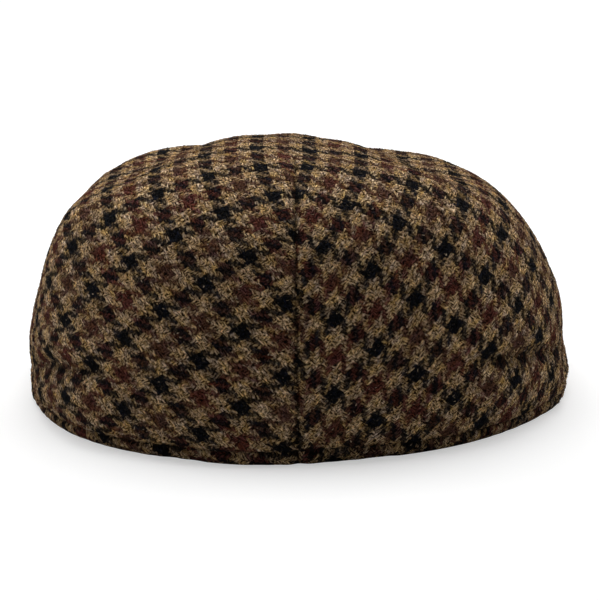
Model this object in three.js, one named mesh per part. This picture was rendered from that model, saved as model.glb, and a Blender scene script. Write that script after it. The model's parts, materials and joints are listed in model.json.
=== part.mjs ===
// A flat cap: a one-piece tweed crown with a centre back seam, sewn down over a cloth-covered peak.
// Millimetres, +Z up, the peak towards -Y, standing on its rim and on the corners of its peak at Z = 0.
import * as THREE from "three";

// Overall sizes
const CROWN_HEIGHT = 95; // from the table to the top of the crown
const TOP_BACK_SET = 22; // how far the top of the crown lies behind the widest line
const RIM_HALF_WIDTH = 97.5; // half the width of the rim at its widest line
const RIM_BACK_REACH = 92; // from the widest line to the rim at the centre back
const RIM_FRONT_REACH = 138; // from the widest line to the crown's front edge, on the peak
const RIM_BACK_SQUARENESS = 1.92; // 2 is an ellipse, more is fuller at the corners
const RIM_FRONT_SQUARENESS = 2.15;

// Cloth
const CLOTH_THICKNESS = 2.0; // tweed with its backing
const HEM_THICKNESS = 3.0; // the cloth turned in on itself
const PIECE_GAP = 0.3; // air between pieces that lie against each other

// Peak
const PEAK_THICKNESS = 4.2; // the stiff core with cloth over both faces
const PEAK_TIP_ANGLE = 104; // where each tip ends, in degrees round from the centre back
const PEAK_SHOW = 10; // how far the peak's front edge stands out past the crown
const PEAK_TUCK = 1.2; // how far each tip lies inside the rim
const HEAD_HALF_WIDTH = 91; // the peak's inner edge follows the head
const HEAD_FRONT_REACH = 98;
const PEAK_FRONT_LIFT = 6; // underside of the front edge above the table, at its middle
const PEAK_INNER_LIFT = 19; // underside of the inner edge above the table, at its middle
const PEAK_CAMBER = 2.0; // how much the peak swells between its two edges
const SEAT_RAMP = 14; // degrees over which the crown's edge climbs from the table on to each tip

// Shape of the crown in one direction after another, from the centre back round to the centre front.
// widest: height of the widest point above the rim. bulge: how far the wall stands out there past the rim.
// round and fall: how full the line over the shoulder is outwards and upwards; 2 and 2 is a quarter ellipse.
const CROWN_SECTIONS = [
  { angle: 0, widest: 17, bulge: 3.8, round: 3.4, fall: 2.55 },
  { angle: 45, widest: 17, bulge: 6.0, round: 3.8, fall: 2.4 },
  { angle: 90, widest: 10, bulge: 1.6, round: 2.6, fall: 2.2 },
  { angle: 120, widest: 8, bulge: 2.0, round: 2.45, fall: 1.7 },
  { angle: 150, widest: 6, bulge: 1.2, round: 1.75, fall: 1.75 },
  { angle: 180, widest: 5, bulge: 1.0, round: 1.75, fall: 1.45 },
];

// Folds and swells of the soft cloth. Each runs between two places on the crown, given by the angle round
// from the centre back (a minus sign is the wearer's right) and the share of the way down from top to rim.
// out: how far the cloth stands out there; a minus sign is a dent. spread: half the width of the fold.
const CROWN_FOLDS = [
  { fold: "back seam", angle: 0, share: 0.16, toAngle: 0, toShare: 1.0, out: -0.9, spread: 1.6 },
  { fold: "top swell", angle: 150, share: 0.12, toAngle: 60, toShare: 0.10, out: 2.8, spread: 26 },
  { fold: "left top valley", angle: 128, share: 0.27, toAngle: 74, toShare: 0.38, out: -2.2, spread: 9 },
  { fold: "right top valley", angle: -140, share: 0.26, toAngle: -80, toShare: 0.30, out: -5.0, spread: 15 },
  { fold: "left shoulder", angle: 118, share: 0.46, toAngle: 70, toShare: 0.53, out: 3.6, spread: 20 },
  { fold: "right shoulder", angle: -120, share: 0.45, toAngle: -85, toShare: 0.48, out: 0.6, spread: 10 },
  { fold: "left flank", angle: 80, share: 0.74, toAngle: 110, toShare: 0.74, out: -1.0, spread: 16 },
  { fold: "left side crease", angle: 97, share: 0.945, toAngle: 56, toShare: 0.86, out: -1.7, spread: 4.5 },
  { fold: "right side crease", angle: -76, share: 0.88, toAngle: -106, toShare: 0.87, out: -1.6, spread: 6 },
  { fold: "right hem swell", angle: -72, share: 0.96, toAngle: -108, toShare: 0.96, out: 1.8, spread: 9 },
  { fold: "left back corner", angle: 18, share: 0.97, toAngle: 46, toShare: 0.97, out: 4.0, spread: 30 },
];

// Fineness of the faceting
const CROWN_GRID = 44; // squares along each side of the crown's net
const HEM_RING_SHARE = 0.03; // share of the way from top to rim that the last ring of squares takes
const PEAK_STATIONS = 40; // sections from tip to tip
const PEAK_FACE_POINTS = 8; // points across each face of the peak
const PEAK_EDGE_POINTS = 3; // points round each of its edges

const { degToRad, lerp, smoothstep } = THREE.MathUtils;

// Distance from the centre to a rounded outline, in a direction measured from the back.
function outlineReach(angle, halfWidth, reach, squareness) {
  const across = Math.abs(Math.sin(angle)) / halfWidth;
  const along = Math.abs(Math.cos(angle)) / reach;
  return (across ** squareness + along ** squareness) ** (-1 / squareness);
}

function direction(angle) {
  return new THREE.Vector3(Math.sin(angle), Math.cos(angle), 0);
}

function rimReach(angle) {
  const back = Math.cos(angle) > 0;
  const reach = back ? RIM_BACK_REACH : RIM_FRONT_REACH;
  const squareness = back ? RIM_BACK_SQUARENESS : RIM_FRONT_SQUARENESS;
  return outlineReach(angle, RIM_HALF_WIDTH, reach, squareness);
}

// The peak in one direction from the head's centre; share 0 is its inner edge and share 1 its front edge.
function peakStation(angle) {
  const towardsFront = (Math.abs(angle) - degToRad(PEAK_TIP_ANGLE)) / (Math.PI - degToRad(PEAK_TIP_ANGLE));
  const rise = smoothstep(towardsFront, 0, 1);
  const stand = lerp(-PEAK_TUCK, PEAK_SHOW, smoothstep(towardsFront, 0, 0.55));
  return {
    inner: outlineReach(angle, HEAD_HALF_WIDTH, HEAD_FRONT_REACH, 2),
    outer: rimReach(angle) + stand,
    innerLift: PEAK_INNER_LIFT * rise,
    outerLift: PEAK_FRONT_LIFT * smoothstep(towardsFront, 0.3, 1),
    camber: PEAK_CAMBER * smoothstep(towardsFront, 0, 0.3),
  };
}

function peakUnderside(station, share) {
  return lerp(station.innerLift, station.outerLift, share) + station.camber * 4 * share * (1 - share);
}

// Height of the crown's edge at a place: on the table at the back and sides, on top of the peak at the front.
function seatHeight(angle, reach) {
  const tip = degToRad(PEAK_TIP_ANGLE);
  const lifted = smoothstep(Math.abs(angle), tip - degToRad(SEAT_RAMP), tip - degToRad(1));
  if (lifted === 0) {
    return 0;
  }
  const station = peakStation(Math.max(Math.abs(angle), tip));
  const share = THREE.MathUtils.clamp((reach - station.inner) / (station.outer - station.inner), 0, 1);
  return lifted * (peakUnderside(station, share) + PEAK_THICKNESS + PIECE_GAP);
}

function onSeat(point) {
  return point.setZ(seatHeight(Math.atan2(point.x, point.y), Math.hypot(point.x, point.y)));
}

const sectionAngles = CROWN_SECTIONS.map((row) => row.angle);
const sectionValues = CROWN_SECTIONS.flatMap((row) => [row.widest, row.bulge, row.round, row.fall]);
const sectionCurve = new THREE.CubicInterpolant(sectionAngles, sectionValues, 4, new Float32Array(4));
sectionCurve.settings = { endingStart: THREE.ZeroSlopeEnding, endingEnd: THREE.ZeroSlopeEnding };

function crownSection(angle) {
  const [widest, bulge, round, fall] = sectionCurve.evaluate(Math.abs(angle) * THREE.MathUtils.RAD2DEG);
  return { widest, bulge, round, fall };
}

// The line over the crown from its top down to its rim, in one direction.
class CrownLine extends THREE.Curve {
  constructor(angle) {
    super();
    this.top = new THREE.Vector3(0, TOP_BACK_SET, CROWN_HEIGHT);
    this.rim = onSeat(direction(angle).multiplyScalar(rimReach(angle)));
    this.section = crownSection(angle);
    this.outwards = this.rim.clone().sub(this.top).setZ(0);
    this.reach = this.outwards.length();
    this.outwards.normalize();
  }

  getPoint(t, target = new THREE.Vector3()) {
    const { widest, bulge, round, fall } = this.section;
    const widestHeight = this.rim.z + widest;
    const shoulder = 0.85;
    let out = this.reach + bulge;
    let height = widestHeight;
    if (t < shoulder) {
      const turn = (1 - t / shoulder) * Math.PI / 2;
      out *= Math.max(0, Math.cos(turn)) ** (2 / round);
      height += (CROWN_HEIGHT - widestHeight) * Math.sin(turn) ** (2 / fall);
    } else {
      const down = (t - shoulder) / (1 - shoulder);
      out -= bulge * down * down;
      height -= widest * down;
    }
    return target.copy(this.top).addScaledVector(this.outwards, out).setZ(height);
  }
}

// The crown's net is a square of squares, so that no point of it has more than four edges.
// Its rings lie at even distances down the crown, and the last ring is the hem.
function netPlace(column, row) {
  const half = CROWN_GRID / 2;
  const across = column - half;
  const along = half - row;
  const ring = Math.max(Math.abs(across), Math.abs(along));
  if (ring === 0) {
    return { angle: 0, share: 0 };
  }
  const turn = Math.abs(along) >= Math.abs(across)
    ? (along > 0 ? across / along : 4 + across / along)
    : (across > 0 ? 2 - along / across : -2 - along / across);
  const angle = turn > 4 ? turn - 8 : turn;
  const share = ring === half ? 1 : ring / (half - 1) * (1 - HEM_RING_SHARE);
  return { angle: angle * Math.PI / 4, share };
}

// The lines of the folds, each as points on the smooth crown.
const foldLines = CROWN_FOLDS.map((fold) => {
  const points = [];
  for (let step = 0; step <= 24; step += 1) {
    const angle = degToRad(lerp(fold.angle, fold.toAngle, step / 24));
    points.push(new CrownLine(angle).getPointAt(lerp(fold.share, fold.toShare, step / 24)));
  }
  return { ...fold, points };
});

// How far the folds move a point of the smooth crown outwards.
function foldShift(point) {
  let shift = 0;
  for (const { points, out, spread } of foldLines) {
    const near = Math.min(...points.map((place) => place.distanceTo(point)));
    shift += out * Math.exp(-((near / spread) ** 2));
  }
  return shift;
}

function closedMesh(name, points, faces, material) {
  const geometry = new THREE.BufferGeometry();
  geometry.setAttribute("position", new THREE.Float32BufferAttribute(points.flatMap((p) => p.toArray()), 3));
  geometry.setIndex(faces.flat());
  geometry.computeVertexNormals();
  const mesh = new THREE.Mesh(geometry, material);
  mesh.name = name;
  return mesh;
}

// The way out of the smooth crown at a place on it.
function crownNormal({ angle, share }) {
  const step = 0.004;
  if (share < step) {
    return new THREE.Vector3(0, 0, 1);
  }
  const line = new CrownLine(angle);
  const down = line.getPointAt(Math.min(1, share + step)).sub(line.getPointAt(share - step));
  const before = new CrownLine(angle - step).getPointAt(share);
  const round = new CrownLine(angle + step).getPointAt(share).sub(before);
  return round.cross(down).normalize();
}

function makeCrown(material) {
  const side = CROWN_GRID + 1;
  const places = [];
  for (let row = 0; row < side; row += 1) {
    for (let column = 0; column < side; column += 1) {
      places.push(netPlace(column, row));
    }
  }
  // Each square is cut in two along the line that points away from the top.
  const middle = (CROWN_GRID - 1) / 2;
  const faces = [];
  for (let row = 0; row < CROWN_GRID; row += 1) {
    for (let column = 0; column < CROWN_GRID; column += 1) {
      const a = row * side + column;
      const b = a + side;
      if ((row < middle) === (column < middle)) {
        faces.push([a, b, b + 1], [a, b + 1, a + 1]);
      } else {
        faces.push([a, b, a + 1], [b, b + 1, a + 1]);
      }
    }
  }
  const outer = [];
  const inner = [];
  for (const place of places) {
    const onEdge = place.share === 1;
    const point = new CrownLine(place.angle).getPointAt(place.share);
    const normal = crownNormal(place);
    if (onEdge) {
      normal.setZ(0).normalize();
    }
    const inHem = smoothstep(place.share, 1 - 2 * HEM_RING_SHARE, 1 - HEM_RING_SHARE);
    const thickness = lerp(CLOTH_THICKNESS, HEM_THICKNESS, inHem);
    const outwards = normal.clone().setZ(Math.max(0, normal.z)).normalize();
    point.addScaledVector(outwards, foldShift(point));
    const behind = point.clone().addScaledVector(normal, -thickness);
    outer.push(onEdge ? onSeat(point) : point);
    inner.push(onEdge ? onSeat(behind) : behind);
  }

  const edge = [];
  for (let step = 0; step < CROWN_GRID; step += 1) {
    edge.push(step);
  }
  for (let step = 0; step < CROWN_GRID; step += 1) {
    edge.push(step * side + CROWN_GRID);
  }
  for (let step = 0; step < CROWN_GRID; step += 1) {
    edge.push(side * side - 1 - step);
  }
  for (let step = 0; step < CROWN_GRID; step += 1) {
    edge.push((CROWN_GRID - step) * side);
  }
  const count = side * side;
  const innerFaces = faces.map(([a, b, c]) => [a + count, c + count, b + count]);
  const edgeFaces = edge.flatMap((a, index) => {
    const b = edge[(index + 1) % edge.length];
    return [[a, b, b + count], [a, b + count, a + count]];
  });
  return closedMesh("crown", [...outer, ...inner], [...faces, ...innerFaces, ...edgeFaces], material);
}

// One section across the peak: along its underside, round its front edge, over its top, round its inner edge.
function peakSection(angle) {
  const station = peakStation(angle);
  const radius = PEAK_THICKNESS / 2;
  const width = station.outer - station.inner;
  const outline = [];
  const add = (out, up) => {
    const share = THREE.MathUtils.clamp((out - station.inner) / width, 0, 1);
    outline.push(direction(angle).multiplyScalar(out).setZ(peakUnderside(station, share) + up));
  };
  for (let step = 0; step <= PEAK_FACE_POINTS; step += 1) {
    add(lerp(station.inner + radius, station.outer - radius, step / PEAK_FACE_POINTS), 0);
  }
  for (let step = 1; step <= PEAK_EDGE_POINTS; step += 1) {
    const turn = step / (PEAK_EDGE_POINTS + 1) * Math.PI;
    add(station.outer - radius + radius * Math.sin(turn), radius - radius * Math.cos(turn));
  }
  for (let step = PEAK_FACE_POINTS; step >= 0; step -= 1) {
    add(lerp(station.inner + radius, station.outer - radius, step / PEAK_FACE_POINTS), PEAK_THICKNESS);
  }
  for (let step = 1; step <= PEAK_EDGE_POINTS; step += 1) {
    const turn = step / (PEAK_EDGE_POINTS + 1) * Math.PI;
    add(station.inner + radius - radius * Math.sin(turn), radius + radius * Math.cos(turn));
  }
  return outline;
}

function makePeak(material) {
  const points = [];
  const faces = [];
  let around = 0;
  for (let station = 0; station <= PEAK_STATIONS; station += 1) {
    const angle = lerp(PEAK_TIP_ANGLE, 360 - PEAK_TIP_ANGLE, station / PEAK_STATIONS);
    const section = peakSection(degToRad(angle > 180 ? angle - 360 : angle));
    around = section.length;
    points.push(...section);
  }
  for (let station = 0; station < PEAK_STATIONS; station += 1) {
    for (let step = 0; step < around; step += 1) {
      const next = (step + 1) % around;
      const a = station * around + step;
      const b = station * around + next;
      faces.push([a, b + around, a + around], [a, b, b + around]);
    }
  }
  for (const [first, flip] of [[0, true], [PEAK_STATIONS * around, false]]) {
    const middle = new THREE.Vector3();
    for (let step = 0; step < around; step += 1) {
      middle.addScaledVector(points[first + step], 1 / around);
    }
    points.push(middle);
    for (let step = 0; step < around; step += 1) {
      const next = first + (step + 1) % around;
      const face = [points.length - 1, first + step, next];
      faces.push(flip ? face.reverse() : face);
    }
  }
  return closedMesh("peak", points, faces, material);
}

function tweed() {
  return new THREE.MeshStandardMaterial({ color: 0x6b5240, roughness: 0.95, metalness: 0 });
}

// The origin is under the middle of the whole cap, so the head's centre lies a little behind it.
function makeCap() {
  const cap = new THREE.Group();
  cap.name = "flat_cap";
  cap.add(makeCrown(tweed()), makePeak(tweed()));
  cap.updateMatrixWorld(true);
  const box = new THREE.Box3().setFromObject(cap);
  const middle = (box.min.y + box.max.y) / 2;
  for (const piece of cap.children) {
    piece.position.y = -middle;
  }
  return cap;
}

export default makeCap();
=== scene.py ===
"""A flat cap in gun club tweed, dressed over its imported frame.

The crown is one sheet of cloth, closed by a seam up the centre back that ends on the top, with a
turned hem that is stitched down all round. The peak is covered in the same cloth. Sizes are in
metres.
"""
import json
import math

import bpy
import numpy as np
from mathutils import Matrix, Vector
from mathutils.kdtree import KDTree

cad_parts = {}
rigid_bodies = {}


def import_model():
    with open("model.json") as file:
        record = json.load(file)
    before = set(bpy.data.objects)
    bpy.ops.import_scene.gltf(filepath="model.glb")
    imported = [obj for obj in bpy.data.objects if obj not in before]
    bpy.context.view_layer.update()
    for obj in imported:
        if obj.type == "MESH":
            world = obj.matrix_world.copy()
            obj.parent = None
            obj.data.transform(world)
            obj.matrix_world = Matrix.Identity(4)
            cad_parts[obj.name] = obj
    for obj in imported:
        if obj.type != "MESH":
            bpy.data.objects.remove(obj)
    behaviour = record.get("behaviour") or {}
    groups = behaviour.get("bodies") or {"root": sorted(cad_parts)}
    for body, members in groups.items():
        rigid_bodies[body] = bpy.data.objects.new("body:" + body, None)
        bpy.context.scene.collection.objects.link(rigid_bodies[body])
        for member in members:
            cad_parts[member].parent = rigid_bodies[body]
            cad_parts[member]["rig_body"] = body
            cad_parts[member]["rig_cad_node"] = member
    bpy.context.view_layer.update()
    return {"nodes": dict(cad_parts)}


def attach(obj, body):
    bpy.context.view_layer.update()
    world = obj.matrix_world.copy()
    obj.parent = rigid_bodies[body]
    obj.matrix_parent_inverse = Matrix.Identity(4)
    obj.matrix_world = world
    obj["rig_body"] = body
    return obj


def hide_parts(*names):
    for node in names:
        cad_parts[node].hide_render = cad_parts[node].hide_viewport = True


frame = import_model()

bl_info = {
    "name": "Flat Cap",
    "version": (1, 0, 0),
    "blender": (4, 5, 0),
    "location": "View3D > Sidebar > Flat Cap",
    "description": "Dresses the flat cap's frame in checked tweed",
    "category": "Object",
}

# Names that pieces and materials share
CLOTH_UV = "cloth"
# The groove attribute carries painted shade down the seam, in the hem's groove and in the folds
GROOVE_SHADE = "groove"
FROM_RIM = "from_rim"
TONE = "tone"
WEAVE = "Tweed Weave"

# Points nearer than this are one; the head opening's middle along y; and a place inside the crown
SAME_PLACE = 1e-5
OPENING_MIDDLE = 0.02
CROWN_INSIDE = (0.0, OPENING_MIDDLE, 0.03)

# Threads in a stripe, in a repeat of the check, up to its russet's middle, and under a float of the twill
STRIPE = 4
REPEAT = 4 * STRIPE
RUSSET_MIDDLE = 2.5 * STRIPE
FLOAT = 2


# Sizes and colours

class ClothSizes(bpy.types.PropertyGroup):
    """Sizes of the tweed and of what is sewn into it."""

    wall: bpy.props.FloatProperty(
        name="Cloth thickness", description="Tweed with its backing", default=0.002, unit="LENGTH")
    hem_wall: bpy.props.FloatProperty(
        name="Hem thickness", description="Tweed where it is turned up", default=0.003, unit="LENGTH")
    hem_width: bpy.props.FloatProperty(
        name="Hem width", description="From the rim to the stitches above it", default=0.005,
        unit="LENGTH")
    hem_groove: bpy.props.FloatProperty(
        name="Hem groove", description="How far the stitches pull the cloth in", default=0.0012,
        precision=4, unit="LENGTH")
    stitch_pitch: bpy.props.FloatProperty(
        name="Stitch pitch", description="From one stitch of the hem to the next", default=0.0036,
        precision=4, unit="LENGTH")
    stitch_length: bpy.props.FloatProperty(
        name="Stitch length", description="How much of a stitch shows", default=0.0027, precision=4,
        unit="LENGTH")
    stitch_width: bpy.props.FloatProperty(
        name="Stitch width", description="Thickness of the sewing thread", default=0.00045, precision=5,
        unit="LENGTH")
    seam_end: bpy.props.FloatProperty(
        name="Seam end", description="How far behind the origin the back seam ends on the top",
        default=0.0608, unit="LENGTH")
    seam_groove: bpy.props.FloatProperty(
        name="Seam groove", description="How far the cloth dips into the back seam", default=0.0007,
        precision=4, unit="LENGTH")
    seam_allowance: bpy.props.FloatProperty(
        name="Seam allowance", description="Where the turned edges lift the cloth beside the seam",
        default=0.004, unit="LENGTH")
    slant: bpy.props.FloatProperty(
        name="Thread slant", description="Turn of the warp from the line over the top of each half",
        default=math.radians(19.5), subtype="ANGLE")
    row_bow: bpy.props.FloatProperty(
        name="Row bow", default=2.35,
        description="How strongly the rows of weft bend on the flat halves, for each metre")
    row_bow_middle: bpy.props.FloatProperty(
        name="Row bow middle", description="Where the rows are level, from the seam", default=0.040,
        unit="LENGTH")
    row_bow_reach: bpy.props.FloatProperty(
        name="Row bow reach", description="Where the rows run straight again, from the seam",
        default=0.100, unit="LENGTH")
    fold_depth: bpy.props.FloatProperty(
        name="Fold depth", description="How deep the soft folds of the sides are", default=0.0025,
        precision=4, unit="LENGTH")
    fibres: bpy.props.IntProperty(
        name="Fibres", description="Loose fibres in each lot of the crown's fuzz", default=48000, min=0)
    fibre_length: bpy.props.FloatProperty(
        name="Fibre length", description="Longest common fibre", default=0.0019, precision=4,
        unit="LENGTH")
    fibre_width: bpy.props.FloatProperty(
        name="Fibre width", description="At the middle of a fibre", default=0.00017, precision=5,
        unit="LENGTH")


class CheckSettings(bpy.types.PropertyGroup):
    """The yarns and how the check lies on the cloth."""

    warp_pitch: bpy.props.FloatProperty(
        name="Warp pitch", description="From one warp thread to the next", default=0.01807 / REPEAT,
        precision=5, unit="LENGTH")
    weft_pitch: bpy.props.FloatProperty(
        name="Weft pitch", description="From one weft thread to the next", default=0.0206 / REPEAT,
        precision=5, unit="LENGTH")
    russet_across: bpy.props.FloatProperty(
        name="Russet across", description="Middle of a russet stripe, across from the seam end",
        default=-0.00396, precision=5, unit="LENGTH")
    russet_along: bpy.props.FloatProperty(
        name="Russet along", description="Middle of a russet stripe, along from the seam end",
        default=-0.03083, precision=5, unit="LENGTH")
    dark: bpy.props.FloatVectorProperty(
        name="Dark yarn", description="Black stripes", subtype="COLOR", size=4, min=0, max=1,
        default=(0.0046, 0.0048, 0.0064, 1))
    ground: bpy.props.FloatVectorProperty(
        name="Ground yarn", description="Camel stripes between the others", subtype="COLOR", size=4,
        min=0, max=1, default=(0.372, 0.239, 0.122, 1))
    russet: bpy.props.FloatVectorProperty(
        name="Russet yarn", description="Red brown stripes", subtype="COLOR", size=4, min=0, max=1,
        default=(0.078, 0.0335, 0.0205, 1))
    red: bpy.props.FloatVectorProperty(
        name="Redder lot", description="What the russet turns to in places", subtype="COLOR", size=4,
        min=0, max=1, default=(0.086, 0.0245, 0.0165, 1))
    hair: bpy.props.FloatVectorProperty(
        name="Stray hairs", description="Pale hairs spun into every yarn", subtype="COLOR", size=4,
        min=0, max=1, default=(0.62, 0.47, 0.32, 1))
    thread: bpy.props.FloatVectorProperty(
        name="Sewing thread", description="Stitches of the hem", subtype="COLOR", size=4, min=0, max=1,
        default=(0.012, 0.009, 0.007, 1))


class StageSettings(bpy.types.PropertyGroup):
    """Where the camera stands."""

    distance: bpy.props.FloatProperty(
        name="Camera distance", description="From the camera to the middle of the cap", default=1.1,
        unit="LENGTH")
    elevation: bpy.props.FloatProperty(
        name="Camera elevation", description="Above the table", default=math.radians(13.935),
        subtype="ANGLE")
    roll: bpy.props.FloatProperty(
        name="Camera roll", description="Turn about the line of sight", default=math.radians(0.605),
        subtype="ANGLE")
    lens: bpy.props.FloatProperty(
        name="Focal length", description="On a sensor 36 mm wide", default=178.3, unit="CAMERA")


# Small tools

def only(obj):
    """Makes one object the only selected and active one."""
    bpy.ops.object.select_all(action="DESELECT")
    obj.select_set(True)
    bpy.context.view_layer.objects.active = obj


def copy_of_node(node, name):
    """A copy of a CAD node to work on, with its loose triangles joined up."""
    only(frame["nodes"][node])
    bpy.ops.object.duplicate()
    piece = bpy.context.view_layer.objects.active
    if piece is frame["nodes"][node]:
        raise RuntimeError(f"could not copy {node}")
    piece.name = piece.data.name = name
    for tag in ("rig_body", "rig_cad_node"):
        if tag in piece:
            del piece[tag]
    bpy.ops.object.parent_clear(type="CLEAR_KEEP_TRANSFORM")
    bpy.ops.object.mode_set(mode="EDIT")
    bpy.ops.mesh.select_all(action="SELECT")
    bpy.ops.mesh.remove_doubles(threshold=SAME_PLACE)
    bpy.ops.object.mode_set(mode="OBJECT")
    while piece.data.uv_layers:
        piece.data.uv_layers.remove(piece.data.uv_layers[0])
    return piece


def points_of(piece):
    """The piece's vertices as rows of x, y, z."""
    points = np.empty(len(piece.data.vertices) * 3)
    piece.data.vertices.foreach_get("co", points)
    return points.reshape(-1, 3)


def corners_of(mesh):
    """The vertex number at each face corner."""
    corners = np.empty(len(mesh.loops), np.int32)
    mesh.loops.foreach_get("vertex_index", corners)
    return corners


def layout_of(mesh):
    """The cloth layout at each face corner."""
    flat = np.empty(len(mesh.loops) * 2)
    mesh.uv_layers[CLOTH_UV].uv.foreach_get("vector", flat)
    return flat.reshape(-1, 2)


def mark(piece, name, values):
    """Keeps one value for each vertex as an attribute of the piece."""
    marks = piece.data.attributes.new(name, "FLOAT", "POINT")
    marks.data.foreach_set("value", values)


def ramp(values, low, high):
    """A soft step from 0 at low to 1 at high."""
    share = np.clip((values - low) / (high - low), 0, 1)
    return share * share * (3 - 2 * share)


def bell(values, middle, width):
    """A soft bump of height 1."""
    return np.exp(-((values - middle) / width) ** 2)


def puckers(along, short, long, long_share, shift):
    """Two waves along a row of stitches, of a short and a long pitch."""
    turn = along * 2 * math.pi
    return np.sin(turn / short) + long_share * np.sin(turn / long + shift)


def select(piece, kind, wanted):
    """Selects faces or edges in edit mode: wanted tells which."""
    bpy.ops.object.mode_set(mode="EDIT")
    bpy.ops.mesh.select_mode(type=kind)
    bpy.ops.mesh.select_all(action="DESELECT")
    bpy.ops.object.mode_set(mode="OBJECT")
    for item in piece.data.polygons if kind == "FACE" else piece.data.edges:
        item.select = bool(wanted(item))
    bpy.ops.object.mode_set(mode="EDIT")


def rim_edges(mesh):
    """Numbers of the edges with a face on one side only."""
    number = {edge.key: edge.index for edge in mesh.edges}
    sides = np.concatenate([[number[key] for key in face.edge_keys] for face in mesh.polygons])
    return np.flatnonzero(np.bincount(sides, minlength=len(mesh.edges)) == 1)


def apply_modifier(piece, kind, **settings):
    """Adds a modifier with these settings and applies it."""
    modifier = piece.modifiers.new(kind.title(), kind)
    for key, value in settings.items():
        setattr(modifier, key, value)
    only(piece)
    bpy.ops.object.modifier_apply(modifier=modifier.name)


def weigh(piece, name, weights, least=0.001):
    """A vertex group from one weight for each vertex."""
    group = piece.vertex_groups.new(name=name)
    for index in np.flatnonzero(weights > least):
        group.add([int(index)], float(weights[index]), "REPLACE")
    return group


def press(piece, heights):
    """Moves the cloth out or in by a height for each vertex."""
    for name, way in (("raised", 1), ("sunk", -1)):
        signed = way * heights
        most = float(signed.max())
        if most <= 0:
            continue
        group = weigh(piece, name, np.maximum(signed, 0) / most)
        apply_modifier(piece, "DISPLACE", strength=way * most, mid_level=0.0, direction="NORMAL",
                       vertex_group=group.name)
        piece.vertex_groups.remove(piece.vertex_groups[name])


def ruffle(piece, size, height):
    """Gives the cloth a soft unevenness."""
    texture = bpy.data.textures.new("cloth unevenness", "CLOUDS")
    texture.noise_scale = size
    texture.noise_depth = 1
    apply_modifier(piece, "DISPLACE", texture=texture, texture_coords="LOCAL", strength=height,
                   mid_level=0.5, direction="NORMAL")


def shade_smooth(piece):
    """Smooths a piece's shading."""
    only(piece)
    bpy.ops.object.shade_smooth()


def finish_piece(piece, material, *nodes):
    """Gives a piece its material and its place in the frame."""
    piece.data.materials.clear()
    piece.data.materials.append(material)
    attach(piece, "root")
    if nodes:
        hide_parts(*nodes)


# Cloth layouts

# Two places on the middle line over the top, front and back, and the height that the line keeps above
OVER_TOP = (-0.06, 0.046)
TOP_LOWEST = 0.04

# The back's rows hold while the rest relaxes: from where behind the seam end, how far aside, how hard
HOLD_BEHIND = (-0.004, 0.020)
HOLD_ASIDE = (0.085, 0.130)
HOLD_STRENGTH = 1e4


def lay_halves(piece, sizes):
    """Cuts the crown's net along its middle line and lays both halves flat, warp upright and the
    seam end at zero; gives the place and the side of each face corner."""
    mesh = piece.data
    points = points_of(piece)
    on_line = np.abs(points[:, 0]) < SAME_PLACE
    for edge in mesh.edges:
        edge.use_seam = bool(on_line[edge.vertices[0]] and on_line[edge.vertices[1]])
    mesh.uv_layers.new(name=CLOTH_UV)
    bpy.ops.object.mode_set(mode="EDIT")
    bpy.ops.mesh.select_all(action="SELECT")
    bpy.ops.uv.unwrap(method="MINIMUM_STRETCH", iterations=60)
    bpy.ops.object.mode_set(mode="OBJECT")
    flat = layout_of(mesh)
    corners = corners_of(mesh).reshape(-1, 4)
    face_side = np.sign(points[corners].mean(axis=1)[:, 0])
    line = np.flatnonzero(on_line & (points[:, 2] > TOP_LOWEST))

    def flat_at(half, numbers, back):
        near = line[np.argmin(np.abs(points[line, 1] - back))]
        return half[numbers == near].mean(axis=0)

    for side in (1, -1):
        faces = np.flatnonzero(face_side == side)
        own = (faces[:, None] * 4 + np.arange(4)).ravel()
        solid = points[corners[faces]]
        solid_cross = np.cross(solid[:, 2] - solid[:, 0], solid[:, 3] - solid[:, 1])
        half = flat[own].reshape(-1, 4, 2)
        one, two = half[:, 2] - half[:, 0], half[:, 3] - half[:, 1]
        flat_cross = one[:, 0] * two[:, 1] - one[:, 1] * two[:, 0]
        growth = np.linalg.norm(solid_cross, axis=1).sum() / np.abs(flat_cross).sum()
        half = flat[own] * math.sqrt(growth)
        if flat_cross.sum() < 0:
            half[:, 0] *= -1
        numbers = corners[faces].ravel()
        front, back = (flat_at(half, numbers, place) for place in OVER_TOP)
        over_top = front - back
        turn = math.atan2(over_top[0], over_top[1]) + side * sizes.slant
        cos, sin = math.cos(turn), math.sin(turn)
        from_end = half - flat_at(half, numbers, sizes.seam_end)
        flat[own] = from_end @ np.array([[cos, sin], [-sin, cos]])
    return flat, np.repeat(face_side, 4)


def triangle_sides(places, triangles):
    """The two sides of each triangle that start at its first corner, as columns."""
    first, second, third = (places[triangles[:, corner]] for corner in range(3))
    return np.stack([second - first, third - first], axis=2)


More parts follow.
